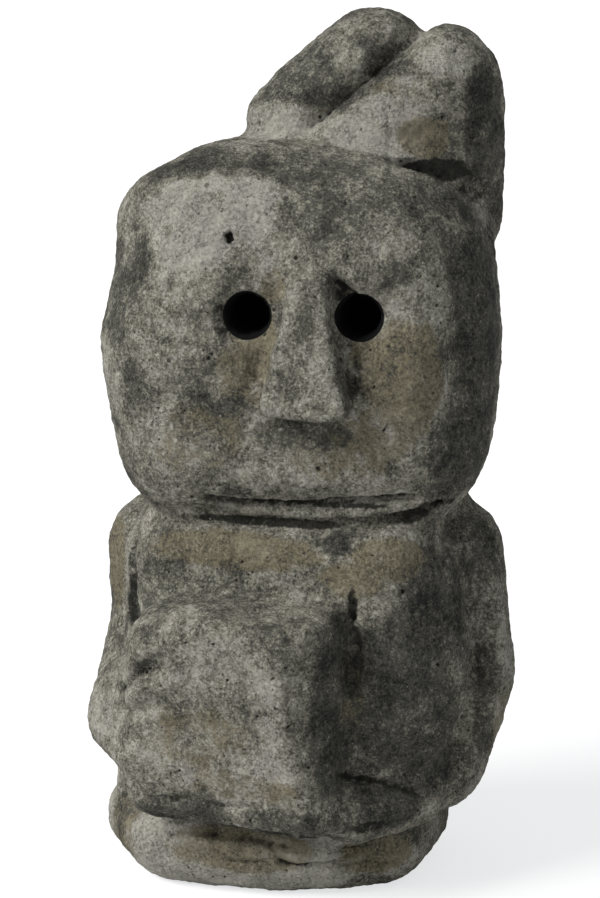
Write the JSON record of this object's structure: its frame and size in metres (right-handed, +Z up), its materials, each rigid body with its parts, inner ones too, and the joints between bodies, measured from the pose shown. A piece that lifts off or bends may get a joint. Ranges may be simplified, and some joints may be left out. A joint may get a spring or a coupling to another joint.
{
  "type": "tiki figure",
  "caption": "Squat carved stone guardian figure with drilled eyes, a wedge nose, a two-lobed topknot and a block held in front of the belly.",
  "frame": {"origin": "middle of the figure's bounding box, on the ground under the base", "axes": "+Z up the figure, the figure faces -Y, +X towards the figure's left arm"},
  "size_m": [0.1808, 0.1538, 0.3619],
  "materials": {
    "weathered_stone": "matte, pitted and weathered grey volcanic stone with ochre stains and dark blotches"
  },
  "bodies": {
    "root": {"base": "weathered_stone", "torso": "weathered_stone", "right_arm": "weathered_stone", "left_arm": "weathered_stone", "right_hand": "weathered_stone", "left_hand": "weathered_stone", "held_block": "weathered_stone", "skull": "weathered_stone", "face": "weathered_stone", "nose": "weathered_stone", "lower_lip": "weathered_stone", "topknot_left": "weathered_stone", "topknot_right": "weathered_stone"}
  },
  "joints": []
}
